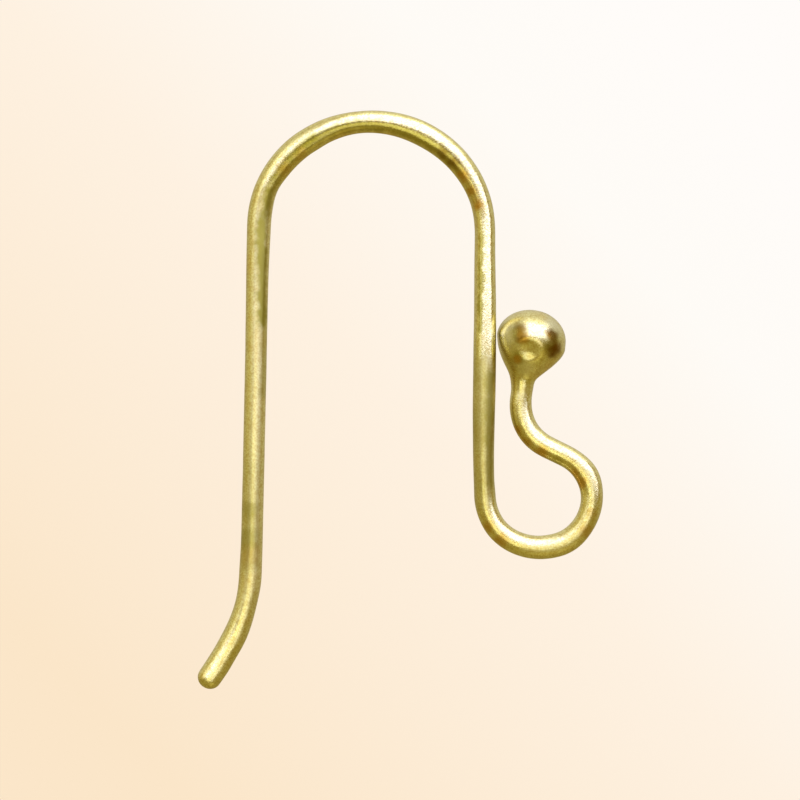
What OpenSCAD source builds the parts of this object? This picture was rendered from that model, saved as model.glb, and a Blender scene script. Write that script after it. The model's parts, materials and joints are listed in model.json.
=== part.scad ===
// Ear wire: one length of round wire, bent into a shepherd's hook with a small hanging loop,
// and melted into a ball at its front end. Millimetres and degrees.
//
// It lies on its side, as it rests by itself: on the ball, the tip of the tail and the shoulder.
// +Y is up as the wire is worn, +X points from the ear to the ball, and +Z is up from the surface.
// The origin is on that surface, under the middle of the box round the wire.

/* [Wire] */
// Diameter of the wire, 20 gauge
wire_d = 0.81; // [0.6:0.01:1.1]
// Share of its thickness that the wire loses where it is bent to a radius of its own diameter
bend_thinning = 0.04; // [0.02:0.01:0.1]

/* [Hook] */
// Length of the straight front leg, from the loop up to the arch
front_leg_l = 9.5; // [6:0.1:14]
// Radius of the arch that sits in the ear, to the middle of the wire
arch_r = 4.25; // [3:0.01:6]
// Radius of the tighter shoulder, where the arch turns down to the long leg
shoulder_r = 3.7; // [2.5:0.05:5]
// Angle that the shoulder turns through
shoulder_turn = 58.5; // [30:0.5:80]
// Length of the short straight between the arch and the shoulder
shoulder_flat_l = 0.25; // [0.1:0.05:1]
// Angle that the long leg leans away from the front leg
leg_splay = 0.8; // [0:0.1:5]
// Length of the straight long leg behind the ear
long_leg_l = 13; // [9:0.05:18]

/* [Tail] */
// Radius of the bend that turns the tail outwards
tail_bend_r = 5.2; // [3:0.1:8]
// Angle that the tail turns outwards
tail_turn = 30; // [15:1:50]
// Length of the straight tail, up to its rounded tip
tail_l = 1.5; // [1:0.1:4]

/* [Loop] */
// Radius of the hanging loop under the front leg
loop_r = 2.05; // [1.6:0.05:3]
// Angle that the loop turns through under the leg
loop_turn = 101; // [80:1:120]
// Length of the short straight between the loop and its lip
lip_flat_l = 0.15; // [0.1:0.05:0.6]
// Radius of the lip, the loop's far side, which turns back to the leg
lip_r = 1.79; // [1.3:0.01:2.6]
// Angle that the lip turns through
lip_turn = 143; // [125:0.5:155]
// Radius of the reverse bend that leads up to the ball
neck_bend_r = 1.8; // [1.2:0.05:2.4]

/* [Ball] */
// Diameter of the ball
ball_d = 2.57; // [1.8:0.01:3.2]
// Clear space between the ball and the front leg
ball_gap = 0.05; // [0.03:0.01:0.4]
// Angle that the ball's neck leans away from the front leg
neck_tilt = 11; // [5:1:25]
// Radius of the hollow fillet between the ball and the wire
neck_fillet_r = 1.2; // [0.6:0.05:1.4]

/* [Hidden] */
$fn = 64;

gold = [0.76, 0.68, 0.33];

// Length that a bend's thinner end runs on into the thicker wire beside it
lap = 0.02;
// Depth that the tip's dome and the neck's fillet stay under the surface that they run into
skin = 0.005;
// Angle between the places where the wire's reach is measured
station_step = 2;

wire_r = wire_d / 2;
ball_r = ball_d / 2;

// A stretch of the wire is a row, [length, 0, 0] where it is straight and [0, radius, turn] where
// it is bent, with a turn to the left counted as positive. A pose is [x, y, heading].
LENGTH = 0;
RADIUS = 1;
TURN = 2;
HEADING = 2;

function last(list) = list[len(list) - 1];
function straight_row(length) = [length, 0, 0];
function bend_row(radius, turn) = [0, radius, turn];
function is_straight(row) = row[RADIUS] == 0;

// Centre of the bend that starts at a pose
function bend_centre(pose, row) =
    let (r = sign(row[TURN]) * row[RADIUS], h = pose[HEADING])
    [pose.x - r * sin(h), pose.y + r * cos(h)];

// Pose after going part of the way, from 0 to 1, along a row
function ahead(pose, row, part = 1) =
    let (h = pose[HEADING] + part * row[TURN], r = sign(row[TURN]) * row[RADIUS])
    is_straight(row)
        ? [pose.x + part * row[LENGTH] * cos(h), pose.y + part * row[LENGTH] * sin(h), h]
        : let (c = bend_centre(pose, row)) [c.x + r * sin(h), c.y - r * cos(h), h];

// Poses at the start of each row, and after the last one
function walk(start, rows) =
    [for (i = 0, at = start; i <= len(rows); at = i < len(rows) ? ahead(at, rows[i]) : at, i = i + 1) at];

// Points along the middle of the wire, a station_step apart on the bends
function stations(start, rows) =
    let (starts = walk(start, rows))
    [for (i = [0 : len(rows) - 1])
        let (steps = max(1, ceil(abs(rows[i][TURN]) / station_step)))
        for (k = [0 : steps])
            let (p = ahead(starts[i], rows[i], k / steps)) [p.x, p.y]];

// The hook's side starts at the top of the front leg and ends at the tip of the tail
hook_start = [0, front_leg_l, 90];
hook_rows = [
    bend_row(arch_r, 180 - leg_splay - shoulder_turn),
    straight_row(shoulder_flat_l),
    bend_row(shoulder_r, shoulder_turn),
    straight_row(long_leg_l),
    bend_row(tail_bend_r, -tail_turn),
    straight_row(tail_l)];
tip = last(walk(hook_start, hook_rows));

// The loop's side starts at the bottom of the front leg and ends at the ball's neck
loop_start = [0, 0, -90];
slope_heading = loop_start[HEADING] + loop_turn + lip_turn;
neck_heading = 90 - neck_tilt;
function loop_rows(slope) = [
    bend_row(loop_r, loop_turn),
    straight_row(lip_flat_l),
    bend_row(lip_r, lip_turn),
    straight_row(slope),
    bend_row(neck_bend_r, neck_heading - slope_heading)];

// The fillet's circle touches the wire, and the ball just under its surface
neck_h = sqrt((ball_r - skin + neck_fillet_r) ^ 2 - (wire_r + neck_fillet_r) ^ 2);
function ball_after(neck) =
    [neck.x + neck_h * cos(neck_heading), neck.y + neck_h * sin(neck_heading)];

// The slope above the loop is as long as brings the ball up to its gap from the front leg
ball_x = wire_r + ball_gap + ball_r;
ball_x_without_slope = ball_after(last(walk(loop_start, loop_rows(0)))).x;
slope_l = (ball_x - ball_x_without_slope) / cos(slope_heading);
neck = last(walk(loop_start, loop_rows(slope_l)));
ball_c = ball_after(neck);

// The wire leans on the ball, about the line that runs from the tip to where it touches the shoulder
middle = concat(stations(hook_start, hook_rows), stations(loop_start, loop_rows(slope_l)));
rest_heading = max([for (p = middle) if (p.y > 0) atan2(p.y - tip.y, p.x - tip.x)]);
along = [cos(rest_heading), sin(rest_heading)];
function side_of(p) = p.x * along.y - p.y * along.x;
lean = asin((ball_r - wire_r) / (side_of(ball_c) - side_of(tip)));

// Where a point in the wire's plane comes to, seen from above, once the wire leans
function leant(p) = let (s = side_of(p) * (1 - cos(lean))) [p.x - s * along.y, p.y + s * along.x];

reach = concat(
    [for (p = middle) each [leant(p) - [wire_r, wire_r], leant(p) + [wire_r, wire_r]]],
    [leant(ball_c) - [ball_r, ball_r], leant(ball_c) + [ball_r, ball_r]]);
function middle_of(values) = (min(values) + max(values)) / 2;
mid_x = middle_of([for (p = reach) p.x]);
mid_y = middle_of([for (p = reach) p.y]);
rise = wire_r - side_of(tip) * sin(lean);

// A straight stretch of wire
module straight(pose, row)
    translate([pose.x, pose.y, 0])
        rotate([0, 90, pose[HEADING]])
            cylinder(h = row[LENGTH], r = wire_r);

// A bend, drawn a little thinner, with its ends lapped into its neighbours
module bend(pose, row) {
    turn = row[TURN];
    lap_turn = lap / row[RADIUS] * 180 / PI;
    first = pose[HEADING] - 90 * sign(turn);
    translate(bend_centre(pose, row))
        rotate_extrude(start = min(first, first + turn) - lap_turn, angle = abs(turn) + 2 * lap_turn)
            translate([row[RADIUS], 0])
                circle(r = wire_r * (1 - bend_thinning * wire_d / row[RADIUS]));
}

// The wire along a list of rows
module run(start, rows) {
    poses = walk(start, rows);
    for (i = [0 : len(rows) - 1])
        if (is_straight(rows[i])) straight(poses[i], rows[i]);
        else bend(poses[i], rows[i]);
}

// The straight leg in front of the ear
module front_leg() straight([0, 0, 90], straight_row(front_leg_l));

// The arch, the shoulder, the long leg, the tail and its rounded tip
module hook() {
    run(hook_start, hook_rows);
    translate([tip.x, tip.y, 0])
        rotate([0, 90, tip[HEADING]])
            sphere(r = wire_r - skin);
}

// The hanging loop and the bends that lead up to the ball
module loop() run(loop_start, loop_rows(slope_l));

// The ball and the hollow fillet of its neck, turned about the neck's axis
module ball() {
    translate(ball_c) sphere(r = ball_r);
    translate([neck.x, neck.y, 0])
        rotate([0, 90, neck_heading])
            rotate_extrude()
                difference() {
                    polygon([[0, 0], [wire_r + neck_fillet_r, 0], [0, neck_h]]);
                    translate([wire_r + neck_fillet_r, 0]) circle(r = neck_fillet_r);
                }
}

// The whole wire in its own plane is tipped onto the ball and set on the surface
module ear_wire()
    color(gold)
        translate([-mid_x, -mid_y, rise])
            rotate(a = -lean, v = [along.x, along.y, 0])
                union() {
                    hook();
                    front_leg();
                    loop();
                    ball();
                }

ear_wire();
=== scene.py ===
"""Ear wire: a shepherd's hook in satin gold wire, with a hanging loop and a melted ball, in a soft studio."""

import json
import logging
import math
from collections.abc import Sequence
from dataclasses import dataclass
from enum import Enum

import bpy
from mathutils import Matrix, Vector
from mathutils.kdtree import KDTree

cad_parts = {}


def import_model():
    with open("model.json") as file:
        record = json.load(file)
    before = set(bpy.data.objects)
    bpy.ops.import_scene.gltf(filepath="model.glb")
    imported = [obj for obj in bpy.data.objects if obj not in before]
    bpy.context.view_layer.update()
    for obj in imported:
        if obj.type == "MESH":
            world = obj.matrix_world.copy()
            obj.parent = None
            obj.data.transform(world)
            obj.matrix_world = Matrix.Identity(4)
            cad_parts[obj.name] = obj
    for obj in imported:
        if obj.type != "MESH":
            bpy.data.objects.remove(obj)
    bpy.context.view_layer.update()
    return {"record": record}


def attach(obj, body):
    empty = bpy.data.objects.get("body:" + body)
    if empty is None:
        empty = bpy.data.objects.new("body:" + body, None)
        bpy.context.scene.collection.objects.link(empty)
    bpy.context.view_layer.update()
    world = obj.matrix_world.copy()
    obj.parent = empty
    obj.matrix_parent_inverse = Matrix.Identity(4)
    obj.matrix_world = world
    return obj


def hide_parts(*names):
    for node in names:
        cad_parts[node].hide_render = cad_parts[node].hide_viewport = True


LOG = logging.getLogger("ear_wire")
MM = 0.001
PHOTO_SIDE = 800
DRAWN = "drawn"
RUBBED = "rubbed"

Colour = tuple[float, float, float]
Socket = bpy.types.NodeSocket
Value = Socket | Sequence[float] | float


class Stretch(Enum):
    """Stretches of the wire, in order from the tip of the tail to the ball."""

    TAIL = "tail"
    TAIL_BEND = "tail bend"
    LONG_LEG = "long leg"
    SHOULDER = "shoulder"
    SHOULDER_FLAT = "shoulder flat"
    ARCH = "arch"
    FRONT_LEG = "front leg"
    LOOP = "loop"
    LIP_FLAT = "lip flat"
    LIP = "lip"
    SLOPE = "slope"
    NECK_BEND = "neck bend"


@dataclass(frozen=True)
class Row:
    """One stretch of the wire, straight where it has no radius; a turn to the left is positive."""

    stretch: Stretch
    length: float = 0.0
    radius: float = 0.0
    turn: float = 0.0

    @property
    def run(self) -> float:
        """Give the length along the middle of the wire."""
        return self.length or self.radius * math.radians(abs(self.turn))


@dataclass(frozen=True)
class Pose:
    """A place in the wire's plane, in millimetres, and the way that the wire heads there, in degrees."""

    x: float
    y: float
    heading: float

    def ahead(self, row: Row, part: float = 1.0) -> "Pose":
        """Go along a stretch.

        Args:
            row: The stretch.
            part: The share of it to go.

        Returns:
            The pose that is reached.
        """
        start = math.radians(self.heading)
        if not row.radius:
            step = part * row.length
            return Pose(self.x + step * math.cos(start), self.y + step * math.sin(start), self.heading)
        side = math.copysign(row.radius, row.turn)
        heading = self.heading + part * row.turn
        end = math.radians(heading)
        x = self.x + side * (math.sin(end) - math.sin(start))
        y = self.y + side * (math.cos(start) - math.cos(end))
        return Pose(x, y, heading)

    def aside(self, along: float, left: float) -> "Pose":
        """Go straight on and to the left, still heading the same way.

        Args:
            along: Distance straight on.
            left: Distance to the left.

        Returns:
            The pose that is reached.
        """
        way = math.radians(self.heading)
        x = self.x + along * math.cos(way) - left * math.sin(way)
        y = self.y + along * math.sin(way) + left * math.cos(way)
        return Pose(x, y, self.heading)

    @property
    def point(self) -> Vector:
        """Give the place as a vector in the wire's plane."""
        return Vector((self.x, self.y, 0.0))


@dataclass(frozen=True)
class Swell:
    """How the worked wire differs from drawn wire at one place.

    The place is a share of a stretch. The width is across the wire in its plane, and the shift
    moves its middle to the left of the way from the tail to the ball.
    """

    stretch: Stretch
    share: float
    width: float
    shift: float


@dataclass(frozen=True)
class Rub:
    """How rough the wire's surface is at one place, and how far the wire is bent out of its plane there.

    The place is a share of a stretch, and the lift is in millimetres.
    """

    stretch: Stretch
    share: float
    roughness: float
    lift: float


@dataclass(frozen=True)
class BallRow:
    """A section of the ball: its height above the neck, its half width and its shift to the left."""

    height: float
    half_width: float
    shift: float


@dataclass(frozen=True)
class Ring:
    """A section of the wire: its pose, half its width in the plane and its depth through it, and its lift."""

    pose: Pose
    half_width: float
    half_depth: float
    lift: float = 0.0

    @property
    def point(self) -> Vector:
        """Give the middle of the section, in millimetres in the wire's plane."""
        return Vector((self.pose.x, self.pose.y, self.lift))


@dataclass(frozen=True)
class WirePlane:
    """The plane that the wire is bent in, with its origin at the middle of the tail's rounded tip."""

    origin: Vector
    right: Vector
    up: Vector
    normal: Vector

    @classmethod
    def from_record(cls, record: dict) -> "WirePlane":
        """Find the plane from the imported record's mounts.

        Args:
            record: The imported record.

        Returns:
            The plane, in metres in the row frame.
        """
        mounts = {mount["name"]: mount for mount in record["mounts"]}
        pin = mounts["tail_pin"]
        half_pin = pin["dims"]["length_mm"] * MM / 2
        origin = Vector(pin["pos_m"]) + half_pin * Vector(pin["axis"]).normalized()
        normal = Vector(mounts["drop_loop"]["axis"]).normalized()
        up = -Vector(mounts["ear_seat"]["axis"]).normalized()
        right = up.cross(normal).normalized()
        return cls(origin, right, normal.cross(right), normal)

    @property
    def matrix(self) -> Matrix:
        """Give the matrix that takes millimetres in the plane to metres in the row frame."""
        turn = Matrix((self.right, self.up, self.normal)).transposed().to_4x4()
        return Matrix.Translation(self.origin) @ turn @ Matrix.Scale(MM, 4)

    def place(self, x: float, y: float, z: float) -> Vector:
        """Take a point in the plane, in millimetres, to the row frame."""
        return self.matrix @ Vector((x, y, z))


def smooth_curve(knots: Sequence[tuple[float, ...]], at: float) -> tuple[float, ...]:
    """Read a smooth curve through knots.

    Args:
        knots: Tuples of a place and the values there, in order of place.
        at: The place to read.

    Returns:
        The values there.
    """
    at = min(max(at, knots[0][0]), knots[-1][0])
    last = len(knots) - 1
    i = max(k for k in range(last) if knots[k][0] <= at)
    before, start, end, after = (knots[min(max(k, 0), last)] for k in range(i - 1, i + 3))
    span = end[0] - start[0]
    t = (at - start[0]) / span
    values = []
    for k in range(1, len(start)):
        slope_in = (end[k] - before[k]) / (end[0] - before[0]) * span
        slope_out = (after[k] - start[k]) / (after[0] - start[0]) * span
        low = (2 * t**3 - 3 * t**2 + 1) * start[k] + (t**3 - 2 * t**2 + t) * slope_in
        high = (3 * t**2 - 2 * t**3) * end[k] + (t**3 - t**2) * slope_out
        values.append(low + high)
    return tuple(values)


@dataclass(frozen=True)
class Graph:
    """A tree of shader nodes, with the few nodes that the finish and the studio are made of."""

    tree: bpy.types.NodeTree

    def feed(self, socket: Socket, value: Value) -> None:
        """Set an input, or link it.

        Args:
            socket: The input.
            value: The number, vector or colour that it gets, or the socket that feeds it.
        """
        if isinstance(value, Socket):
            self.tree.links.new(value, socket)
        else:
            socket.default_value = value

    def add(self, kind: str, inputs: dict[str | int, Value] | None = None,
            **settings: str) -> bpy.types.Node:
        """Add a node.

        Args:
            kind: Its type, without the start that all types share.
            inputs: What its inputs get, by their names or numbers.
            settings: Its own settings.

        Returns:
            The node.
        """
        node = self.tree.nodes.new(f"ShaderNode{kind}")
        for name, choice in settings.items():
            setattr(node, name, choice)
        for name, value in (inputs or {}).items():
            self.feed(node.inputs[name], value)
        return node

    def noise(self, place: Socket, size: float, detail: float = 1.0, roughness: float = 0.6) -> Socket:
        """Add a noise texture.

        Args:
            place: The coordinates that it reads.
            size: The size of its blotches, in the coordinates' unit.
            detail: How many finer layers it has.
            roughness: How strong the finer layers are.

        Returns:
            The socket of its value, from 0 to 1.
        """
        inputs = {"Vector": place, "Scale": 1.0 / size, "Detail": detail, "Roughness": roughness}
        return self.add("TexNoise", inputs).outputs["Fac"]

    def spread(self, value: Socket, ends: tuple[float, float], to: tuple[float, float] = (0.0, 1.0),
               curve: str = "SMOOTHSTEP") -> Socket:
        """Stretch a value's range, and hold it at the ends.

        Args:
            value: The value.
            ends: Its two ends.
            to: What they become.
            curve: The way from one end to the other.

        Returns:
            The socket of the result.
        """
        limits = dict(zip(("From Min", "From Max", "To Min", "To Max"), (*ends, *to)))
        return self.add("MapRange", {"Value": value, **limits}, interpolation_type=curve).outputs["Result"]

    def mix(self, share: Socket, first: Socket | Colour, second: Socket | Colour) -> Socket:
        """Mix two colours.

        Args:
            share: The socket of the second colour's share.
            first: The first colour, or its socket.
            second: The second colour, or its socket.

        Returns:
            The socket of the mixed colour.
        """
        first, second = (c if isinstance(c, Socket) else (*c, 1.0) for c in (first, second))
        inputs = {"Factor": share, "A": first, "B": second}
        return self.add("Mix", inputs, data_type="RGBA").outputs["Result"]

    def reckon(self, operation: str, first: Value, second: Value) -> Socket:
        """Reckon with two numbers, and return the result's socket."""
        return self.add("Math", {0: first, 1: second}, operation=operation).outputs["Value"]

    def reckon_vectors(self, operation: str, *vectors: Value) -> Socket:
        """Reckon with vectors.

        Args:
            operation: What is done with them.
            vectors: The vectors or their sockets.

        Returns:
            The result's socket, which holds a vector or, for a distance or a dot product, a number.
        """
        output = "Value" if operation in ("DISTANCE", "DOT_PRODUCT") else "Vector"
        return self.add("VectorMath", dict(enumerate(vectors)), operation=operation).outputs[output]

    def line_distance(self, place: Socket, start: Vector, end: Vector) -> Socket:
        """Measure how far places are from a straight line between two points.

        Args:
            place: The places.
            start: One end of the line.
            end: Its other end.

        Returns:
            The distance's socket.
        """
        run = end - start
        off = self.reckon_vectors("SUBTRACT", place, start)
        along = self.reckon_vectors("DOT_PRODUCT", off, run / run.length_squared)
        share = self.add("Clamp", {"Value": along}).outputs["Result"]
        near = self.add("VectorMath", {0: run, "Scale": share}, operation="SCALE").outputs["Vector"]
        return self.reckon_vectors("DISTANCE", off, near)

    def bump(self, height: Socket, depth: float, under: Socket | None = None) -> Socket:
        """Add a bump.

        Args:
            height: The socket of the height, from 0 to 1.
            depth: The height that 1 stands for.
            under: The socket of the normal that it is laid on, if any.

        Returns:
            The normal's socket.
        """
        inputs = {"Distance": depth, "Height": height}
        if under is not None:
            inputs["Normal"] = under
        return self.add("Bump", inputs).outputs["Normal"]


class PaintedTone(Enum):
    """Colours painted on the gold in place of light and shade: amber, brown and olive for painted shade and
    painted dark reflections, pale for painted pale reflections.
    """

    AMBER = (0.58, 0.32, 0.04)
    BROWN = (0.20, 0.09, 0.002)
    OLIVE = (0.36, 0.31, 0.045)
    PALE = (0.78, 0.76, 0.52)


@dataclass(frozen=True)
class PaintedSpot:
    """A painted spot, of shade or dark reflection where its colour is dark and of pale reflection where it is
    pale: its middle in the wire's plane, from the tail's tip, and its size, in millimetres.
    """

    kind: PaintedTone
    x: float
    y: float
    z: float
    size: float
    strength: float

    def distance(self, graph: Graph, place: Socket, plane: WirePlane, push: Vector) -> Socket:
        """Measure how far the pushed places are from the spot, and return the distance's socket."""
        return graph.reckon_vectors("DISTANCE", place, plane.place(self.x, self.y, self.z) + push)


@dataclass(frozen=True)
class PaintedStreak:
    """A streak of painted shade along the wire, a dark band beside a highlight: the points that it runs
    through, its half width and strength.
    """

    kind: PaintedTone
    points: tuple[tuple[float, float, float], ...]
    size: float
    strength: float

    def distance(self, graph: Graph, place: Socket, plane: WirePlane, push: Vector) -> Socket:
        """Measure how far places are from the streak.

        Args:
            graph: The material's nodes.
            place: The pushed places.
            plane: The plane that the streak is measured in.
            push: How far they are pushed on average.

        Returns:
            The distance's socket.
        """
        points = [plane.place(*point) + push for point in self.points]
        nearest = graph.line_distance(place, points[0], points[1])
        for start, end in zip(points[1:], points[2:]):
            nearest = graph.reckon("MINIMUM", nearest, graph.line_distance(place, start, end))
        return nearest


@dataclass(frozen=True)
class Dent:
    """A shallow dent: its middle in the wire's plane, from the tail's tip, its radius and its depth."""

    x: float
    y: float
    z: float
    radius: float
    depth: float


@dataclass(frozen=True)
class Blotches:
    """Blotches of another colour, which come in between two values of a noise."""

    colour: Colour
    size_mm: float
    detail: float
    ends: tuple[float, float]
    strength: float


@dataclass(frozen=True)
class SatinGold:
    """Satin gold finish on the wire: fine grain, faint draw lines, blotches of other golds, and painted shade
    and painted reflections in spots and streaks.

    Attributes:
        push_mm: How far the edges of the painted shade and reflections are pushed about.
        core: The share of a painted spot's or streak's size that is full.
        wear: How far the roughness goes up and down.
        wear_mm: The size of the patches that it does so in.
        wear_ends: The values of the noise at which the roughness is lowest and highest.
    """

    name: str = "satin_gold"
    colour: Colour = (0.85, 0.785, 0.33)
    greener: Blotches = Blotches((0.82, 0.795, 0.33), 1.6, 3.0, (0.42, 0.25), 0.8)
    warmer: Blotches = Blotches((0.83, 0.66, 0.22), 1.6, 3.0, (0.52, 0.72), 0.7)
    mottles: Blotches = Blotches((0.56, 0.41, 0.09), 0.22, 2.0, (0.42, 0.80), 0.5)
    speckles: Blotches = Blotches((0.56, 0.41, 0.09), 0.07, 1.0, (0.35, 0.70), 0.55)
    push_mm: float = 0.35
    core: float = 0.2
    wear: float = 0.03
    wear_mm: float = 1.6 / 3
    wear_ends: tuple[float, float] = (0.3, 0.7)
    grain_mm: float = 0.06
    grain_height_mm: float = 0.005
    line_mm: float = 0.05
    line_height_mm: float = 0.0015

    def material(self, marks: Sequence[PaintedSpot | PaintedStreak], plane: WirePlane) -> bpy.types.Material:
        """Make the material.

        Args:
            marks: The spots and streaks of painted shade and painted reflection, from the lowest.
            plane: The plane that their places are measured in.

        Returns:
            The material.
        """
        material = bpy.data.materials.new(self.name)
        material.use_nodes = True
        graph = Graph(material.node_tree)
        place = graph.add("TexCoord").outputs["Object"]
        # The gold gets its painted shade and painted reflections here.
        gold = self.paint_shade_and_reflection(graph, place, self.tint(graph, place), marks, plane)
        shader = graph.tree.nodes["Principled BSDF"].inputs
        shader["Metallic"].default_value = 1.0
        graph.feed(shader["Base Color"], gold)
        graph.feed(shader["Roughness"], self.roughness(graph, place))
        graph.feed(shader["Normal"], self.relief(graph, place))
        return material

    def tint(self, graph: Graph, place: Socket) -> Socket:
        """Vary the gold over the wire.

        Args:
            graph: The material's nodes.
            place: The coordinates on the piece.

        Returns:
            The colour's socket.
        """
        gold = self.colour
        for blotches in (self.greener, self.warmer, self.mottles, self.speckles):
            noise = graph.noise(place, blotches.size_mm * MM, blotches.detail)
            share = graph.spread(noise, blotches.ends, (0.0, blotches.strength))
            gold = graph.mix(share, gold, blotches.colour)
        return gold

    def paint_shade_and_reflection(self, graph: Graph, place: Socket, gold: Socket, marks: Sequence[PaintedSpot | PaintedStreak],
                plane: WirePlane) -> Socket:
        """Paint the shade and reflections on the gold, with their edges pushed about a little.

        Args:
            graph: The material's nodes.
            place: The coordinates on the piece.
            gold: The colour under the painted shade and reflections.
            marks: The spots and streaks of painted shade and painted reflection, from the lowest.
            plane: The plane that their places are measured in.

        Returns:
            The colour's socket.
        """
        push = self.push_mm * MM
        blots = graph.add("TexNoise", {"Vector": place, "Scale": 1.0 / push}).outputs["Color"]
        pushed = graph.reckon_vectors("MULTIPLY_ADD", blots, [push] * 3, place)
        # Each mark mixes painted shade, and for the pale colour painted reflection, into the gold.
        for mark in marks:
            reach = mark.size * MM
            apart = mark.distance(graph, pushed, plane, Vector([push / 2] * 3))
            share = graph.spread(apart, (reach * self.core, reach), (mark.strength, 0.0))
            gold = graph.mix(share, gold, mark.kind.value)
        return gold

    def roughness(self, graph: Graph, place: Socket) -> Socket:
        """Read how rubbed the wire is at each place, and vary it a little.

        Args:
            graph: The material's nodes.
            place: The coordinates on the piece.

        Returns:
            The roughness's socket.
        """
        rubbed = graph.add("Attribute", attribute_name=RUBBED).outputs["Fac"]
        noise = graph.noise(place, self.wear_mm * MM, 2.0)
        return graph.reckon("ADD", rubbed, graph.spread(noise, self.wear_ends, (-self.wear, self.wear)))

    def relief(self, graph: Graph, place: Socket) -> Socket:
        """Raise the fine grain, and the faint lines that run along drawn wire.

        Args:
            graph: The material's nodes.
            place: The coordinates on the piece.

        Returns:
            The normal's socket.
        """
        drawn = graph.add("Attribute", attribute_name=DRAWN).outputs["Vector"]
        lines = graph.bump(graph.noise(drawn, self.line_mm), self.line_height_mm * MM)
        return graph.bump(graph.noise(place, self.grain_mm * MM), self.grain_height_mm * MM, lines)


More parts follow.
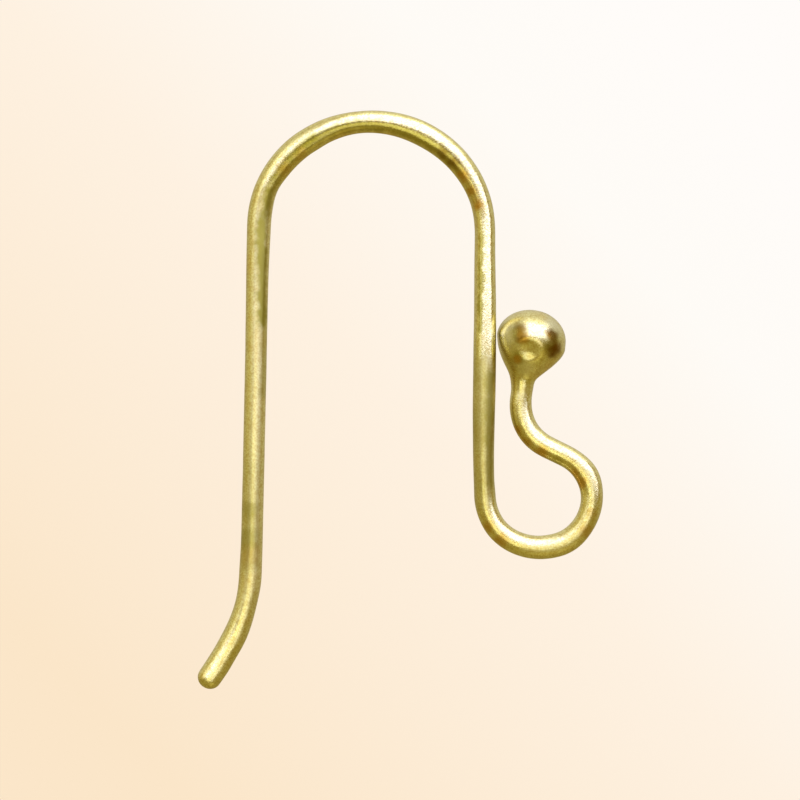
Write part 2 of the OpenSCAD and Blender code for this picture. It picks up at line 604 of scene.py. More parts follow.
@dataclass
class EarWire:
    """The bent wire and its ball. Sizes are in millimetres and angles in degrees.

    Attributes:
        leg_splay: How far the long leg stands away from the front leg.
        ball_gap: The gap between the ball and the front leg.
        ball_top_l: The height of the ball's top over its widest section.
        ring_sides: The number of corners of the drawn sections.
        ring_step: The distance between the sections.
        dome_rings: The number of sections of the tail's rounded tip.
        ball_rings: The number of steps from the neck to the ball's widest section.
        top_rings: The number of steps from there to the ball's top.
        squeeze: How much shallower wider wire is, as a power of its width.
        wave_size: The size of the wire's faint waves.
        wave_height: Their height.
        line_stretch: How many times longer than wide the draw lines are.
    """

    wire_d: float = 0.81
    front_leg_l: float = 9.5
    arch_r: float = 4.25
    shoulder_r: float = 3.7
    shoulder_turn: float = 58.5
    shoulder_flat_l: float = 0.25
    leg_splay: float = 0.8
    long_leg_l: float = 13.0
    tail_bend_r: float = 5.2
    tail_turn: float = 30.0
    tail_l: float = 1.5
    loop_r: float = 2.05
    loop_turn: float = 101.0
    lip_flat_l: float = 0.15
    lip_r: float = 1.79
    lip_turn: float = 143.0
    neck_bend_r: float = 1.8
    neck_tilt: float = 11.0
    neck_fillet_r: float = 1.2
    ball_d: float = 2.57
    ball_gap: float = 0.05
    ball_top_l: float = 1.12

    ring_sides: int = 32
    ring_step: float = 0.19
    dome_rings: int = 7
    ball_rings: int = 22
    top_rings: int = 10
    squeeze: float = 0.6
    wave_size: float = 1.3
    wave_height: float = 0.012
    line_stretch: float = 40.0

    swells: tuple[Swell, ...] = (
        Swell(Stretch.TAIL, 0.00, 0.90, -0.01),
        Swell(Stretch.TAIL, 0.35, 0.915, -0.03),
        Swell(Stretch.TAIL, 0.70, 0.90, -0.03),
        Swell(Stretch.TAIL_BEND, 0.07, 0.905, -0.01),
        Swell(Stretch.TAIL_BEND, 0.55, 0.82, 0.035),
        Swell(Stretch.TAIL_BEND, 0.95, 0.85, 0.025),
        Swell(Stretch.LONG_LEG, 0.10, 0.815, 0.00),
        Swell(Stretch.LONG_LEG, 0.58, 0.81, 0.00),
        Swell(Stretch.LONG_LEG, 0.78, 0.83, 0.015),
        Swell(Stretch.LONG_LEG, 0.90, 0.86, 0.02),
        Swell(Stretch.SHOULDER, 0.12, 0.905, 0.00),
        Swell(Stretch.SHOULDER, 0.38, 0.86, 0.02),
        Swell(Stretch.SHOULDER, 0.62, 0.93, -0.01),
        Swell(Stretch.SHOULDER_FLAT, 0.50, 0.945, 0.01),
        Swell(Stretch.ARCH, 0.07, 0.89, 0.015),
        Swell(Stretch.ARCH, 0.20, 0.825, 0.01),
        Swell(Stretch.ARCH, 0.35, 0.88, 0.00),
        Swell(Stretch.ARCH, 0.48, 0.935, 0.00),
        Swell(Stretch.ARCH, 0.67, 0.88, 0.03),
        Swell(Stretch.ARCH, 0.84, 0.80, 0.035),
        Swell(Stretch.FRONT_LEG, 0.00, 0.78, -0.015),
        Swell(Stretch.FRONT_LEG, 0.30, 0.83, 0.005),
        Swell(Stretch.FRONT_LEG, 0.55, 0.855, 0.00),
        Swell(Stretch.FRONT_LEG, 0.80, 0.805, -0.005),
        Swell(Stretch.FRONT_LEG, 0.95, 0.77, 0.025),
        Swell(Stretch.LOOP, 0.02, 0.80, 0.06),
        Swell(Stretch.LOOP, 0.25, 0.81, 0.035),
        Swell(Stretch.LOOP, 0.43, 0.83, 0.005),
        Swell(Stretch.LOOP, 0.75, 0.87, 0.01),
        Swell(Stretch.LIP, 0.10, 0.89, -0.01),
        Swell(Stretch.LIP, 0.35, 0.82, 0.025),
        Swell(Stretch.LIP, 0.55, 0.825, -0.005),
        Swell(Stretch.LIP, 0.75, 0.895, -0.04),
        Swell(Stretch.LIP, 0.92, 0.835, -0.01),
        Swell(Stretch.SLOPE, 0.50, 0.83, 0.005),
        Swell(Stretch.NECK_BEND, 0.38, 0.855, 0.01),
        Swell(Stretch.NECK_BEND, 0.80, 0.835, -0.02),
    )
    rubs: tuple[Rub, ...] = (
        Rub(Stretch.TAIL, 0.00, 0.29, 0.34),
        Rub(Stretch.TAIL, 0.90, 0.29, 0.14),
        Rub(Stretch.TAIL_BEND, 0.50, 0.34, 0.01),
        Rub(Stretch.LONG_LEG, 0.00, 0.40, 0.00),
        Rub(Stretch.LONG_LEG, 0.42, 0.37, 0.08),
        Rub(Stretch.LONG_LEG, 0.90, 0.34, 0.02),
        Rub(Stretch.SHOULDER, 0.10, 0.35, 0.00),
        Rub(Stretch.SHOULDER, 0.60, 0.27, 0.06),
        Rub(Stretch.ARCH, 0.08, 0.23, 0.14),
        Rub(Stretch.ARCH, 0.40, 0.23, 0.14),
        Rub(Stretch.ARCH, 0.75, 0.24, -0.06),
        Rub(Stretch.ARCH, 0.92, 0.24, -0.08),
        Rub(Stretch.FRONT_LEG, 0.05, 0.24, 0.00),
        Rub(Stretch.FRONT_LEG, 0.45, 0.26, 0.33),
        Rub(Stretch.FRONT_LEG, 0.50, 0.32, 0.36),
        Rub(Stretch.FRONT_LEG, 0.55, 0.44, 0.34),
        Rub(Stretch.FRONT_LEG, 0.75, 0.44, 0.18),
        Rub(Stretch.FRONT_LEG, 0.97, 0.34, 0.00),
        Rub(Stretch.LOOP, 0.30, 0.26, 0.00),
        Rub(Stretch.LOOP, 0.70, 0.29, 0.10),
        Rub(Stretch.LIP, 0.05, 0.36, 0.20),
        Rub(Stretch.LIP, 0.45, 0.27, 0.28),
        Rub(Stretch.SLOPE, 0.50, 0.26, 0.18),
        Rub(Stretch.NECK_BEND, 0.60, 0.26, 0.05),
        Rub(Stretch.NECK_BEND, 1.00, 0.28, 0.00),
    )
    # Painted shade: dark olive bands beside the highlights, along the inner side of the long leg's top, the
    # shoulder and the arch, the left edge of the front leg's top, the right side of its lower half, and down
    # the long leg.
    painted_streaks: tuple[PaintedStreak, ...] = (
        PaintedStreak(PaintedTone.OLIVE, (
            (1.88, 13.30, 0.34), (1.86, 14.05, 0.36), (1.81, 15.90, 0.38), (1.81, 16.60, 0.39),
            (1.86, 17.04, 0.40), (2.11, 18.12, 0.45), (2.51, 18.86, 0.50), (3.06, 19.51, 0.54),
            (3.70, 20.02, 0.54),
        ), 0.37, 1.0),
        PaintedStreak(PaintedTone.OLIVE, (
            (3.70, 20.02, 0.54), (4.50, 20.38, 0.54), (5.35, 20.54, 0.50), (6.60, 20.50, 0.42),
            (7.84, 20.04, 0.34), (8.56, 19.56, 0.33), (9.13, 18.92, 0.33),
        ), 0.34, 0.75),
        PaintedStreak(PaintedTone.OLIVE, ((9.96, 16.90, 0.40), (9.96, 15.00, 0.46), (9.94, 13.00, 0.62)), 0.17, 0.8),
        PaintedStreak(PaintedTone.OLIVE, ((10.36, 11.30, 0.68), (10.36, 9.30, 0.52), (10.38, 7.30, 0.34)), 0.32, 0.75),
        PaintedStreak(PaintedTone.OLIVE, ((1.94, 12.90, 0.32), (1.94, 10.60, 0.30)), 0.34, 0.4),
        PaintedStreak(PaintedTone.OLIVE, ((1.47, 7.80, 0.38), (1.46, 6.20, 0.38)), 0.50, 0.18),
        PaintedStreak(PaintedTone.OLIVE, ((1.46, 6.20, 0.38), (1.44, 4.30, 0.38)), 0.50, 0.42),
    )
    # Spots painted on the gold, mostly painted shade and painted reflections, as listed below.
    painted_spots: tuple[PaintedSpot, ...] = (
        # Painted shade that dulls the lower half of the front leg.
        PaintedSpot(PaintedTone.OLIVE, 10.08, 11.40, 0.60, 1.50, 0.38),
        PaintedSpot(PaintedTone.OLIVE, 10.10, 9.40, 0.50, 1.60, 0.48),
        PaintedSpot(PaintedTone.OLIVE, 10.15, 7.40, 0.40, 1.50, 0.36),
        # Painted pale reflections on the ball's left, lower and upper right sides, with painted shade on the
        # front leg beside the ball, covering the reflections between the two.
        PaintedSpot(PaintedTone.PALE, 11.05, 12.75, 0.50, 0.85, 0.85),
        PaintedSpot(PaintedTone.OLIVE, 10.45, 13.20, 0.20, 0.60, 0.30),
        PaintedSpot(PaintedTone.PALE, 10.85, 12.75, 0.90, 0.70, 0.60),
        PaintedSpot(PaintedTone.PALE, 12.60, 13.10, 0.80, 0.60, 0.50),
        PaintedSpot(PaintedTone.PALE, 11.60, 11.60, 0.80, 0.60, 0.50),
        # Painted dark reflections on the ball, round its highlight.
        PaintedSpot(PaintedTone.OLIVE, 12.56, 12.58, 0.95, 0.62, 0.90),
        PaintedSpot(PaintedTone.BROWN, 12.64, 12.32, 0.86, 0.52, 1.00),
        PaintedSpot(PaintedTone.BROWN, 12.53, 12.84, 0.99, 0.38, 0.95),
        PaintedSpot(PaintedTone.OLIVE, 11.31, 12.92, 1.16, 0.48, 0.90),
        PaintedSpot(PaintedTone.OLIVE, 11.50, 12.60, 1.26, 0.36, 0.70),
        PaintedSpot(PaintedTone.AMBER, 11.50, 12.66, 1.26, 0.34, 0.80),
        PaintedSpot(PaintedTone.BROWN, 11.40, 12.84, 1.20, 0.30, 0.70),
        PaintedSpot(PaintedTone.OLIVE, 11.30, 11.95, 1.00, 0.42, 0.70),
        PaintedSpot(PaintedTone.AMBER, 11.27, 11.87, 0.93, 0.28, 0.80),
        PaintedSpot(PaintedTone.BROWN, 11.40, 13.10, 1.15, 0.38, 0.70),
        # A darker amber spot under the tail's tip.
        PaintedSpot(PaintedTone.AMBER, 0.00, -0.30, 0.10, 0.30, 0.6),
        # Painted shade that darkens the lower long leg.
        PaintedSpot(PaintedTone.AMBER, 1.40, 4.60, 0.40, 0.70, 0.25),
        PaintedSpot(PaintedTone.OLIVE, 1.42, 5.20, 0.40, 0.60, 0.5),
        PaintedSpot(PaintedTone.OLIVE, 1.45, 6.30, 0.38, 0.50, 0.4),
        # Painted shade: amber-brown patches along the darker lower side of the neck, the slope, the lip and
        # the loop.
        PaintedSpot(PaintedTone.AMBER, 11.32, 9.27, 0.30, 0.38, 0.8),
        PaintedSpot(PaintedTone.AMBER, 11.70, 8.86, 0.36, 0.36, 0.7),
        PaintedSpot(PaintedTone.AMBER, 12.26, 8.46, 0.44, 0.40, 0.8),
        PaintedSpot(PaintedTone.OLIVE, 12.80, 8.10, 0.46, 0.40, 0.5),
        PaintedSpot(PaintedTone.AMBER, 13.46, 7.66, 0.56, 0.40, 0.8),
        PaintedSpot(PaintedTone.AMBER, 13.70, 7.36, 0.58, 0.36, 0.8),
        PaintedSpot(PaintedTone.AMBER, 14.10, 6.27, 0.52, 0.34, 0.5),
        PaintedSpot(PaintedTone.AMBER, 13.90, 5.60, 0.44, 0.42, 0.7),
        PaintedSpot(PaintedTone.AMBER, 10.33, 5.70, 0.26, 0.38, 0.7),
        PaintedSpot(PaintedTone.AMBER, 10.83, 5.24, 0.28, 0.42, 0.7),
        # Painted shade: an amber-brown band inside the highlight on the arch's right side.
        PaintedSpot(PaintedTone.AMBER, 9.84, 17.68, 0.34, 0.36, 0.95),
        PaintedSpot(PaintedTone.AMBER, 9.58, 18.18, 0.30, 0.40, 0.80),
        PaintedSpot(PaintedTone.AMBER, 9.24, 18.74, 0.28, 0.42, 0.80),
        PaintedSpot(PaintedTone.BROWN, 8.92, 19.22, 0.32, 0.36, 0.65),
        PaintedSpot(PaintedTone.BROWN, 8.50, 19.58, 0.32, 0.36, 0.55),
        # Painted shade: amber patches on the inner side of the shoulder.
        PaintedSpot(PaintedTone.AMBER, 2.68, 18.90, 0.35, 0.45, 0.40),
        PaintedSpot(PaintedTone.AMBER, 3.25, 19.45, 0.30, 0.45, 0.35),
    )
    dents: tuple[Dent, ...] = (Dent(11.73, 12.25, 1.23, 0.53, 0.155),)
    ball_profile: tuple[BallRow, ...] = (
        BallRow(0.00, 0.405, -0.02),
        BallRow(0.12, 0.412, -0.005),
        BallRow(0.28, 0.430, 0.015),
        BallRow(0.46, 0.457, 0.047),
        BallRow(0.62, 0.510, 0.066),
        BallRow(0.80, 0.640, 0.058),
        BallRow(0.95, 0.765, 0.052),
        BallRow(1.20, 0.965, 0.032),
        BallRow(1.56, 1.190, 0.005),
        BallRow(1.86, 1.295, 0.000),
        BallRow(2.05, 1.310, 0.030),
    )

    @property
    def rows(self) -> list[Row]:
        """Lay out the wire, with the slope as long as the ball's gap asks.

        Returns:
            The stretches, from the tail to the ball.
        """
        arch_turn = 180 - self.leg_splay - self.shoulder_turn
        slope_heading = self.loop_turn + self.lip_turn - 90
        hook = [
            Row(Stretch.TAIL, length=self.tail_l),
            Row(Stretch.TAIL_BEND, radius=self.tail_bend_r, turn=self.tail_turn),
            Row(Stretch.LONG_LEG, length=self.long_leg_l),
            Row(Stretch.SHOULDER, radius=self.shoulder_r, turn=-self.shoulder_turn),
            Row(Stretch.SHOULDER_FLAT, length=self.shoulder_flat_l),
            Row(Stretch.ARCH, radius=self.arch_r, turn=-arch_turn),
            Row(Stretch.FRONT_LEG, length=self.front_leg_l),
        ]
        curl = [
            Row(Stretch.LOOP, radius=self.loop_r, turn=self.loop_turn),
            Row(Stretch.LIP_FLAT, length=self.lip_flat_l),
            Row(Stretch.LIP, radius=self.lip_r, turn=self.lip_turn),
        ]
        neck_turn = 90 - self.neck_tilt - slope_heading
        neck_bend = Row(Stretch.NECK_BEND, radius=self.neck_bend_r, turn=neck_turn)
        end = Pose(0.0, 0.0, -90.0)
        for row in [*curl, neck_bend]:
            end = end.ahead(row)
        ball_x = self.wire_d / 2 + self.ball_gap + self.ball_d / 2
        missing = ball_x - end.aside(self.neck_h, 0.0).x
        slope = Row(Stretch.SLOPE, length=missing / math.cos(math.radians(slope_heading)))
        return [*hook, *curl, slope, neck_bend]

    @property
    def neck_h(self) -> float:
        """Give the height of the ball's centre above the neck, where a fillet touches ball and wire."""
        reach = self.ball_d / 2 + self.neck_fillet_r
        return math.sqrt(reach**2 - (self.wire_d / 2 + self.neck_fillet_r) ** 2)

    @property
    def start(self) -> Pose:
        """Give the pose at the tip of the tail."""
        return Pose(0.0, 0.0, 90 - self.leg_splay - self.tail_turn)

    def starts(self) -> dict[Stretch, tuple[Pose, float]]:
        """Walk along the wire.

        Returns:
            The pose where each stretch starts, and the length of wire before it.
        """
        pose, run, found = self.start, 0.0, {}
        for row in self.rows:
            found[row.stretch] = (pose, run)
            pose, run = pose.ahead(row), run + row.run
        return found

    @property
    def neck(self) -> Pose:
        """Give the pose where the wire ends and the ball's neck starts."""
        last = self.rows[-1]
        return self.starts()[last.stretch][0].ahead(last)

    def half_depth(self, half_width: float) -> float:
        """Give half the depth of wire that is squeezed to a half width."""
        drawn = self.wire_d / 2
        return drawn * (drawn / half_width) ** self.squeeze

    def tip_rings(self) -> list[Ring]:
        """Lay out the tail's rounded tip, in line with the tail's own bend out of the plane.

        Returns:
            Its sections.
        """
        width = self.swells[0].width / 2
        first, second = self.rubs[:2]
        rise = (first.lift - second.lift) / ((second.share - first.share) * self.tail_l)
        rings = []
        for k in range(1, self.dome_rings + 1):
            angle = math.radians(90 * k / (self.dome_rings + 1))
            back = self.wire_d / 2 * math.cos(angle)
            pose = self.start.aside(-back, self.swells[0].shift)
            depth = self.half_depth(width) * math.sin(angle)
            rings.append(Ring(pose, width * math.sin(angle), depth, first.lift + rise * back))
        return rings

    def wire_rings(self) -> list[Ring]:
        """Lay out the wire from the tail to the neck, with its swells.

        Returns:
            Its sections.
        """
        end = sum(row.run for row in self.rows)
        neck = self.ball_profile[0]
        knots = [(self.run_to(swell), swell.width, swell.shift) for swell in self.swells]
        knots.append((end, 2 * neck.half_width, neck.shift))
        rubbed = self.rub_knots()
        starts = self.starts()
        rings = []
        for row in self.rows:
            pose, before = starts[row.stretch]
            steps = max(1, round(row.run / self.ring_step))
            for k in range(steps):
                run = before + row.run * k / steps
                width, shift = smooth_curve(knots, run)
                lift = smooth_curve(rubbed, run)[1]
                here = pose.ahead(row, k / steps).aside(0.0, shift)
                rings.append(Ring(here, width / 2, self.half_depth(width / 2), lift))
        return rings

    def run_to(self, place: Swell | Rub) -> float:
        """Give the length of wire before a swell or a rub."""
        row = next(row for row in self.rows if row.stretch is place.stretch)
        return self.starts()[place.stretch][1] + place.share * row.run

    def rub_knots(self) -> list[tuple[float, float, float]]:
        """Give the length of wire before each rub, with its roughness and its lift."""
        return [(self.run_to(rub), rub.roughness, rub.lift) for rub in self.rubs]

    def ball_sections(self) -> list[Ring]:
        """Lay out the neck and the ball, whose top is a flattened half sphere.

        Returns:
            Their sections.
        """
        knots = [(row.height, row.half_width, row.shift) for row in self.ball_profile]
        top = self.ball_profile[-1]
        rings = []
        for k in range(self.ball_rings + 1):
            height = top.height * k / self.ball_rings
            half_width, shift = smooth_curve(knots, height)
            depth = half_width if height else self.half_depth(half_width)
            rings.append(Ring(self.neck.aside(height, shift), half_width, depth))
        for k in range(1, self.top_rings):
            angle = math.radians(90 * k / self.top_rings)
            height = top.height + self.ball_top_l * math.sin(angle)
            half_width = top.half_width * math.cos(angle)
            rings.append(Ring(self.neck.aside(height, top.shift * math.cos(angle)), half_width, half_width))
        return rings

    def sweep(self, rings: Sequence[Ring]) -> bpy.types.Object:
        """Draw the wire: extrude one disc from ring to ring, turning and resizing it on the way.

        Args:
            rings: The sections, from the tip of the tail to the top of the ball.

        Returns:
            The closed wire, in millimetres in its own plane.
        """
        first = rings[0]
        quarter = math.pi / 2
        bpy.ops.object.select_all(action="DESELECT")
        bpy.ops.mesh.primitive_circle_add(
            vertices=self.ring_sides, radius=first.half_width, fill_type="TRIFAN", location=first.point,
            rotation=(quarter, 0.0, quarter + math.radians(first.pose.heading)))
        wire = bpy.context.object
        wire.name = "ear_wire_gold"
        bpy.ops.object.transform_apply(location=True, rotation=True, scale=True)
        bpy.ops.object.mode_set(mode="EDIT")
        bpy.ops.mesh.select_all(action="SELECT")
        bpy.ops.transform.resize(value=(1.0, 1.0, first.half_depth / first.half_width),
                                 center_override=first.point)
        for before, ring in zip(rings, rings[1:]):
            centre = ring.point
            bpy.ops.mesh.extrude_region_move(TRANSFORM_OT_translate={"value": centre - before.point})
            turn = math.radians(ring.pose.heading - before.pose.heading)
            if turn:
                bpy.ops.transform.rotate(value=-turn, orient_axis="Z", center_override=centre)
            wider = ring.half_width / before.half_width
            deeper = ring.half_depth / before.half_depth
            bpy.ops.transform.resize(value=(wider, wider, deeper), center_override=centre)
        bpy.ops.mesh.select_all(action="SELECT")
        bpy.ops.mesh.normals_make_consistent(inside=False)
        bpy.ops.object.mode_set(mode="OBJECT")
        return wire

    def smooth(self, wire: bpy.types.Object) -> None:
        """Round the rings with a subdivision surface and give the wire its faint waviness.

        Args:
            wire: The wire, in millimetres in its own plane.
        """
        rounding = wire.modifiers.new("round_wire", "SUBSURF")
        rounding.levels = 1
        rounding.render_levels = 1
        waves = bpy.data.textures.new("hand_worked_waves", "CLOUDS")
        waves.noise_scale = self.wave_size
        waves.noise_depth = 1
        worked = wire.modifiers.new("hand_worked", "DISPLACE")
        worked.texture = waves
        worked.texture_coords = "LOCAL"
        worked.strength = self.wave_height
        worked.mid_level = 0.5
        for name in ("round_wire", "hand_worked"):
            bpy.ops.object.modifier_apply(modifier=name)
        bpy.ops.object.shade_smooth()

    def dent(self, wire: bpy.types.Object) -> None:
        """Press the dents in, straight down through the wire's plane.

        Args:
            wire: The wire, in millimetres in its own plane.
        """
        for dent in self.dents:
            middle = Vector((dent.x, dent.y, dent.z))
            for vertex in wire.data.vertices:
                share = (vertex.co - middle).length / dent.radius
                if share < 1.0:
                    vertex.co.z -= dent.depth * (1.0 - share**2) ** 2

    def mark(self, wire: bpy.types.Object, rings: Sequence[Ring]) -> None:
        """Store where each point lies round and along the wire, for the draw lines, and how rubbed it is.

        Args:
            wire: The wire, in millimetres in its own plane.
            rings: Its sections.
        """
        tree = KDTree(len(rings))
        runs = [0.0]
        for before, ring in zip(rings, rings[1:]):
            runs.append(runs[-1] + (ring.pose.point - before.pose.point).length)
        for number, ring in enumerate(rings):
            tree.insert(ring.pose.point, number)
        tree.balance()
        rubbed = self.rub_knots()
        wire.data.attributes.new(DRAWN, "FLOAT_VECTOR", "POINT")
        wire.data.attributes.new(RUBBED, "FLOAT", "POINT")
        drawn = wire.data.attributes[DRAWN].data
        rub = wire.data.attributes[RUBBED].data
        for number, vertex in enumerate(wire.data.vertices):
            flat = Vector((vertex.co.x, vertex.co.y, 0.0))
            near = tree.find(flat)[1]
            pose = rings[near].pose
            way = math.radians(pose.heading)
            gap = flat - pose.point
            left = -gap.x * math.sin(way) + gap.y * math.cos(way)
            run = runs[near] + gap.x * math.cos(way) + gap.y * math.sin(way)
            drawn[number].vector = (left, vertex.co.z, run / self.line_stretch)
            rub[number].value = smooth_curve(rubbed, run - runs[self.dome_rings])[0]

    def dress(self, wire: bpy.types.Object, plane: WirePlane, finish: SatinGold) -> None:
        """Give the wire its finish and its place on the body.

        Args:
            wire: The wire, in place.
            plane: The plane that it is bent in.
            finish: Its finish.
        """
        # The finish carries the spots and streaks of painted shade and painted reflections.
        wire.data.materials.append(finish.material([*self.painted_streaks, *self.painted_spots], plane))
        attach(wire, "root")
        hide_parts("ear_wire")

    def build(self, plane: WirePlane, finish: SatinGold) -> bpy.types.Object:
        """Make the whole ear wire.

        Args:
            plane: The plane that it is bent in.
            finish: Its finish.

        Returns:
            The finished piece, in metres in the row frame.
        """
        rings = [*self.tip_rings(), *self.wire_rings(), *self.ball_sections()]
        wire = self.sweep(rings)
        self.smooth(wire)
        self.dent(wire)
        self.mark(wire, rings)
        wire.matrix_world = plane.matrix
        bpy.ops.object.transform_apply(location=True, rotation=True, scale=True)
        self.dress(wire, plane, finish)
        return wire


@dataclass(frozen=True)
class SoftBox:
    """A soft light over the wire's plane.

    Its middle is in millimetres from the tail's tip, along the plane's right, up and normal. It lies
    flat and shines down, or it is tipped up, to face away from its bearing. The bearing is round the
    normal from the right, in degrees, and the brightness is what a mirror would show.
    """

    name: str
    middle: tuple[float, float, float]
    size: tuple[float, float]
    brightness: float
    colour: Colour
    bearing: float = 90.0
    tipped: float = 0.0

    def build(self, plane: WirePlane) -> None:
        """Make the light.

        Args:
            plane: The plane that its place is measured in.
        """
        light = bpy.data.lights.new(self.name, "AREA")
        light.shape = "RECTANGLE"
        light.size, light.size_y = (side * MM for side in self.size)
        light.energy = self.brightness * math.pi * light.size * light.size_y
        light.color = self.colour
        box = bpy.data.objects.new(self.name, light)
        bpy.context.scene.collection.objects.link(box)
        turn = Matrix.Rotation(math.radians(self.bearing - 90.0), 4, "Z")
        tip = Matrix.Rotation(math.radians(-self.tipped), 4, "X")
        spot = plane.matrix @ Matrix.Translation(self.middle) @ turn @ tip
        box.matrix_world = Matrix.LocRotScale(spot.translation, spot.to_quaternion(), None)
        box.visible_camera = False


@dataclass
class Studio:
    """The pale floor, the lights and the camera.

    Attributes:
        plane: The wire's plane, which the camera looks straight down on.
        pixels_per_mm: The photograph's scale at the wire.
        tip_pixel: Where the photograph shows the middle of the tail's rounded tip.
        roll: How far the photograph is turned in the wire's plane, in degrees.
        lens: The camera's focal length, in millimetres, as the sensor's width is.
        clip: How many times nearer and farther than the wire the camera sees.
        floor_side: The floor's side, in metres.
        paper: The floor's glowing colours, from the lower left of the photograph to the upper right.
        paper_bearing: The way that they run, from the right, in degrees.
        gloom: The light of the room over the wire's plane.
        under_gloom: The light of the room under it, on the dim side.
        under_glow: The light of the room under it, on the bright side.
        glow_bearing: Where the bright side is, from the plane's right, in degrees.
        glow_ends: How far to that side the light starts and ends to brighten.
        under_ends: How far up the light starts and ends to change to the light under the plane.
    """

    plane: WirePlane

    pixels_per_mm: float = 26.807
    tip_pixel: tuple[float, float] = (209.94, 676.54)
    roll: float = 0.52
    lens: float = 120.0
    sensor: float = 36.0
    clip: float = 100.0

    floor_side: float = 1.6
    paper: tuple[tuple[float, Colour], ...] = (
        (0.12, (0.965, 0.791, 0.584)),
        (0.50, (0.991, 0.880, 0.753)),
        (0.74, (0.995, 0.965, 0.921)),
        (0.90, (1.000, 0.973, 0.947)),
    )
    paper_bearing: float = 45.0

    gloom: Colour = (0.37, 0.295, 0.075)
    under_gloom: Colour = (0.38, 0.31, 0.12)
    under_glow: Colour = (0.84, 0.82, 0.85)
    glow_bearing: float = 85.0
    glow_ends: tuple[float, float] = (-0.4, 0.9)
    under_ends: tuple[float, float] = (0.1, -0.1)

    boxes: tuple[SoftBox, ...] = (
        SoftBox("key_box", (91.0, 166.0, 100.0), (282.0, 268.0), 2.0, (0.93, 1.0, 2.1)),
        SoftBox("wing_box", (-92.0, 75.0, 100.0), (68.0, 110.0), 1.2, (0.95, 1.0, 1.2)),
        SoftBox("back_box", (40.0, 106.0, 22.0), (120.0, 56.0), 1.0, (0.96, 1.0, 1.3), 72.0, 90.0),
        SoftBox("corner_box", (-45.0, 105.0, 42.0), (90.0, 60.0), 0.5, (0.95, 1.0, 1.3), 120.0, 80.0),
        SoftBox("top_box", (-1.0, 0.0, 45.0), (20.0, 26.0), 1.35, (0.98, 1.0, 0.85)),
        SoftBox("right_box", (22.0, 0.0, 46.0), (19.0, 26.0), 1.2, (0.97, 1.0, 1.3)),
        SoftBox("left_box", (-85.0, 35.0, 30.0), (90.0, 80.0), 0.25, (1.0, 0.95, 0.7), 165.0, 75.0),
        SoftBox("low_box", (30.0, -75.0, 50.0), (60.0, 50.0), 0.28, (1.0, 0.92, 0.5), 285.0, 57.0),
    )

    @property
    def frame_width(self) -> float:
        """Give the width of the photograph's frame at the wire, in metres."""
        return PHOTO_SIDE / self.pixels_per_mm * MM

    @property
    def image_axes(self) -> tuple[Vector, Vector]:
        """Find how the photograph lies over the wire's plane.

        Returns:
            The directions of the photograph's right and up, in the row frame.
        """
        roll = math.radians(self.roll)
        right = math.cos(roll) * self.plane.right + math.sin(roll) * self.plane.up
        up = math.cos(roll) * self.plane.up - math.sin(roll) * self.plane.right
        return right, up

    @property
    def centre(self) -> Vector:
        """Find the middle of the photograph.

        Returns:
            The point of the wire's plane that it shows, in the row frame.
        """
        right, up = self.image_axes
        middle = PHOTO_SIDE / 2
        over = (middle - self.tip_pixel[0]) / self.pixels_per_mm * MM
        above = (self.tip_pixel[1] - middle) / self.pixels_per_mm * MM
        return self.plane.origin + over * right + above * up

    def build_camera(self) -> None:
        """Set the camera straight above the wire's plane, as far off as the lens asks."""
        data = bpy.data.cameras.new("camera")
        data.lens = self.lens
        data.sensor_width = self.sensor
        distance = self.frame_width * self.lens / self.sensor
        data.clip_start = distance / self.clip
        data.clip_end = distance * self.clip
        camera = bpy.data.objects.new("camera", data)
        bpy.context.scene.collection.objects.link(camera)
        turn = Matrix((*self.image_axes, self.plane.normal)).transposed().to_4x4()
        camera.matrix_world = Matrix.Translation(self.centre + distance * self.plane.normal) @ turn
        bpy.context.scene.camera = camera

    def floor_material(self) -> bpy.types.Material:
        """Make the pale paper, which glows by itself instead of being lit, warmer towards the lower left and
        whiter towards the upper right.

        Returns:
            The material.
        """
        material = bpy.data.materials.new("pale_paper")
        material.use_nodes = True
        graph = Graph(material.node_tree)
        nodes = graph.tree.nodes
        nodes.remove(nodes["Principled BSDF"])
        centred = graph.add("Mapping", {
            "Vector": graph.add("TexCoord").outputs["Object"],
            "Location": self.centre,
            "Rotation": (0.0, 0.0, math.radians(self.paper_bearing)),
            "Scale": [self.frame_width * math.sqrt(2)] * 3,
        }, vector_type="TEXTURE")
        across = graph.add("SeparateXYZ", {"Vector": centred.outputs["Vector"]}).outputs["X"]
        ramp = graph.add("ValToRGB", {"Fac": graph.reckon("ADD", across, 0.5)})
        stops = ramp.color_ramp.elements
        stops[0].position, stops[1].position = self.paper[0][0], self.paper[-1][0]
        for at, _ in self.paper[1:-1]:
            stops.new(at)
        for stop, (_, colour) in zip(stops, self.paper):
            stop.color = (*colour, 1.0)
        glow = graph.add("Emission", {"Color": ramp.outputs["Color"]})
        graph.feed(nodes["Material Output"].inputs["Surface"], glow.outputs["Emission"])
        return material

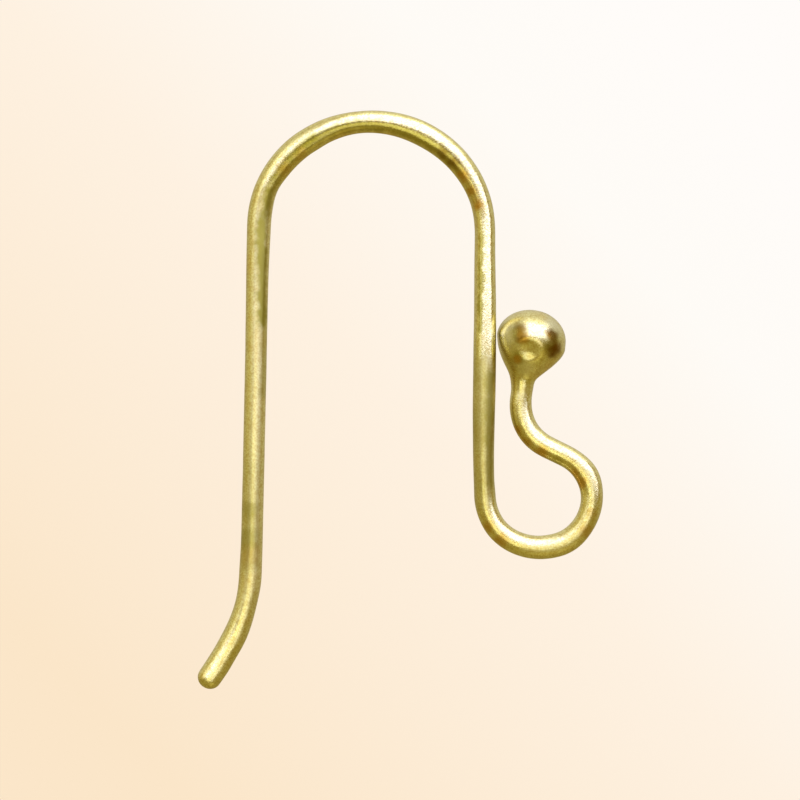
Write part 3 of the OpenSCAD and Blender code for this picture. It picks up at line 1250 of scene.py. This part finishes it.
    def build_floor(self) -> None:
        """Lay the floor that the ear wire rests on."""
        bpy.ops.object.select_all(action="DESELECT")
        bpy.ops.mesh.primitive_plane_add(size=self.floor_side, location=(0.0, 0.0, 0.0))
        floor = bpy.context.object
        floor.name = "floor"
        floor.data.materials.append(self.floor_material())
        floor.visible_glossy = False

    def build_world(self) -> None:
        """Make the room: pale to the camera, dim to the gold, but brighter low down on one side."""
        world = bpy.data.worlds.new("studio_air")
        world.use_nodes = True
        graph = Graph(world.node_tree)
        nodes = graph.tree.nodes
        way = graph.add("TexCoord").outputs["Generated"]
        bearing = math.radians(self.glow_bearing)
        side = math.cos(bearing) * self.plane.right + math.sin(bearing) * self.plane.up
        aside = graph.spread(graph.reckon_vectors("DOT_PRODUCT", way, side), self.glow_ends, curve="LINEAR")
        above = graph.reckon_vectors("DOT_PRODUCT", way, self.plane.normal)
        below = graph.spread(above, self.under_ends, curve="LINEAR")
        room = graph.mix(below, self.gloom, graph.mix(aside, self.under_gloom, self.under_glow))
        graph.feed(nodes["Background"].inputs["Color"], room)
        choice = graph.add("MixShader", {
            "Fac": graph.add("LightPath").outputs["Is Camera Ray"],
            1: nodes["Background"].outputs["Background"],
            2: graph.add("Background", {"Color": (*self.paper[1][1], 1.0)}).outputs["Background"],
        })
        graph.feed(nodes["World Output"].inputs["Surface"], choice.outputs["Shader"])
        bpy.context.scene.world = world

    def build(self) -> None:
        """Set up the camera, the floor, the world and the lights."""
        self.build_camera()
        self.build_floor()
        self.build_world()
        for box in self.boxes:
            box.build(self.plane)
        bpy.context.scene.view_settings.view_transform = "Standard"


def main() -> None:
    """Load the frame, then build the studio and the ear wire in it."""
    logging.basicConfig(level=logging.INFO, format="%(name)s: %(message)s")
    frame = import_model()
    plane = WirePlane.from_record(frame["record"])
    studio = Studio(plane)
    studio.build()
    LOG.info("studio: %d soft boxes", len(studio.boxes))
    wire = EarWire().build(plane, SatinGold())
    LOG.info("%s: %d faces", wire.name, len(wire.data.polygons))


if __name__ == "__main__":
    main()
